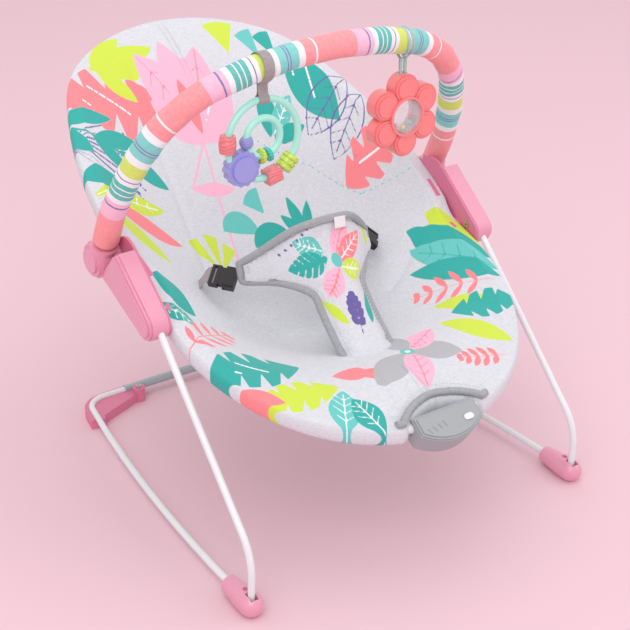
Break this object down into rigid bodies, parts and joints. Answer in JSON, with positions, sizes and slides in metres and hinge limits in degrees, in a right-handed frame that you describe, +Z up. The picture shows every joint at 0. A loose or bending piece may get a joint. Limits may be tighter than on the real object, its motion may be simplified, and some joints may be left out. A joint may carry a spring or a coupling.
{
  "type": "baby bouncer seat",
  "caption": "Sprung-wire baby bouncer with a printed sling seat, padded waist harness, vibration unit and a padded toy bar with two hanging toys.",
  "frame": {"origin": "on the floor, in the middle of the whole object's footprint", "axes": "+Z up, -Y towards the front where the feet point, +X to the right seen from the front"},
  "size_m": [0.487, 0.6146, 0.5374],
  "materials": {
    "white_paint": "smooth white powder coat",
    "grey_paint": "smooth grey powder coat",
    "foot_pink": "satin deep pink moulding",
    "hub_pink": "glossy pink moulding",
    "screw_steel": "plain steel",
    "seat_fabric": null,
    "harness_fabric": "white and lavender heather with grey binding",
    "buckle_black": "satin black moulding",
    "webbing_grey": "woven grey webbing",
    "unit_grey": "satin grey moulding",
    "button_white": "smooth white",
    "battery_metal": "plain printed can without lettering",
    "board_green": "solder mask",
    "sleeve_fabric": "striped jersey over foam",
    "ring_mint": "glossy mint moulding",
    "lavender_plastic": "glossy lavender moulding",
    "coral_plastic": "glossy coral moulding",
    "lime_plastic": "glossy lime moulding",
    "teal_plastic": "glossy teal moulding",
    "ribbon_fabric": "thin woven ribbon",
    "window_clear": "clear polystyrene",
    "rattle_yellow": "mixed bright balls"
  },
  "bodies": {
    "base": {"rail_wire_left": "white_paint", "rail_wire_right": "white_paint", "rear_cross_tube": "grey_paint", "rear_foot_left": "foot_pink", "rear_foot_right": "foot_pink", "rear_foot_screws": "screw_steel", "front_foot_left": "foot_pink", "front_foot_right": "foot_pink"},
    "seat": {"leg_left": "white_paint", "leg_right": "white_paint", "hub_outer_left": "hub_pink", "hub_outer_right": "hub_pink", "hub_inner_left": "foot_pink", "hub_inner_right": "foot_pink", "hub_screws": "screw_steel", "back_tube": "white_paint", "front_tube": "white_paint", "seat_pad": "seat_fabric", "harness_panel": "harness_fabric", "buckle_socket_left": "buckle_black", "buckle_socket_right": "buckle_black", "unit_housing": "unit_grey", "unit_back_cover": "unit_grey", "unit_battery": "battery_metal", "unit_motor": "screw_steel", "unit_circuit_board": "board_green"},
    "toy_bar": {"toy_bar_rod": "screw_steel", "toy_bar_sleeve": "sleeve_fabric", "knuckle_left": "hub_pink", "knuckle_right": "hub_pink"},
    "ring_toy": {"ring_strap": "webbing_grey", "outer_ring": "ring_mint", "inner_ring": "ring_mint", "scalloped_disc": "lavender_plastic"},
    "barrel_bead": {"barrel_bead": "coral_plastic"},
    "cube_bead": {"cube_bead": "coral_plastic"},
    "ridged_bead": {"ridged_bead": "lime_plastic"},
    "swirl_ball": {"swirl_ball": "lavender_plastic"},
    "small_disc_lime": {"small_disc_lime": "lime_plastic"},
    "small_disc_teal": {"small_disc_teal": "teal_plastic"},
    "flower_toy": {"flower_ribbons": "ribbon_fabric", "flower_front": "coral_plastic", "flower_back": "coral_plastic", "flower_window": "window_clear", "rattle_beads": "rattle_yellow"},
    "button": {"unit_button": "button_white"},
    "battery_door": {"unit_battery_door": "unit_grey", "unit_door_screw": "screw_steel"},
    "motor_weight": {"unit_motor_weight": "screw_steel"},
    "strap_left": {"buckle_plug_left": "buckle_black", "waist_strap_left": "webbing_grey"},
    "strap_right": {"buckle_plug_right": "buckle_black", "waist_strap_right": "webbing_grey"}
  },
  "joints": [
    {"name": "bounce", "type": "hinge", "parent": "base", "child": "seat", "pos_m": [0, -0.25119, 0.012], "axis": [1, 0, 0], "range_deg": [-5, 3], "stiffness_Nm_per_rad": 150, "springref_deg": 1.77},
    {"name": "toy_bar_fold", "type": "hinge", "parent": "seat", "child": "toy_bar", "pos_m": [0, 0.0396, 0.29901], "axis": [1, 0, 0], "range_deg": [-18, 10]},
    {"name": "ring_toy_swing", "type": "hinge", "parent": "toy_bar", "child": "ring_toy", "pos_m": [-0.081, -0.0625, 0.51599], "axis": [1, 0, 0], "range_deg": [-40, 40]},
    {"name": "flower_swing", "type": "hinge", "parent": "toy_bar", "child": "flower_toy", "pos_m": [0.104, -0.0602, 0.5111], "axis": [1, 0, 0], "range_deg": [-40, 40]},
    {"name": "barrel_slide", "type": "hinge", "parent": "ring_toy", "child": "barrel_bead", "pos_m": [-0.081, -0.0625, 0.43719], "axis": [0, -1, 0], "range_deg": [-60, 3]},
    {"name": "cube_slide", "type": "hinge", "parent": "ring_toy", "child": "cube_bead", "pos_m": [-0.081, -0.0625, 0.43719], "axis": [0, -1, 0], "range_deg": [-14, 0]},
    {"name": "ridged_slide", "type": "hinge", "parent": "ring_toy", "child": "ridged_bead", "pos_m": [-0.081, -0.0625, 0.43719], "axis": [0, -1, 0], "range_deg": [0, 95]},
    {"name": "swirl_ball_slide", "type": "hinge", "parent": "ring_toy", "child": "swirl_ball", "pos_m": [-0.081, -0.0625, 0.43919], "axis": [0, -1, 0], "range_deg": [-150, 3]},
    {"name": "lime_disc_slide", "type": "hinge", "parent": "ring_toy", "child": "small_disc_lime", "pos_m": [-0.081, -0.0625, 0.43919], "axis": [0, -1, 0], "range_deg": [-1.5, 0]},
    {"name": "teal_disc_slide", "type": "hinge", "parent": "ring_toy", "child": "small_disc_teal", "pos_m": [-0.081, -0.0625, 0.43919], "axis": [0, -1, 0], "range_deg": [0, 120]},
    {"name": "button_press", "type": "slide", "parent": "seat", "child": "button", "axis": [0, 0.5736, -0.8192], "range_m": [0, 0.001], "stiffness_N_per_m": 300, "springref_m": -0.001},
    {"name": "battery_door_off", "type": "slide", "parent": "seat", "child": "battery_door", "axis": [0, 0.5736, -0.8192], "range_m": [0, 0.008]},
    {"name": "motor_weight_turn", "type": "hinge", "parent": "seat", "child": "motor_weight", "pos_m": [-0.006, -0.29465, 0.16586], "axis": [1, 0, 0], "continuous": true},
    {"name": "buckle_left_out", "type": "slide", "parent": "seat", "child": "strap_left", "axis": [-0.6345, 0.7697, 0.0698], "range_m": [0, 0.009]},
    {"name": "buckle_right_out", "type": "slide", "parent": "seat", "child": "strap_right", "axis": [0.6345, 0.7697, 0.0698], "range_m": [0, 0.009]}
  ]
}
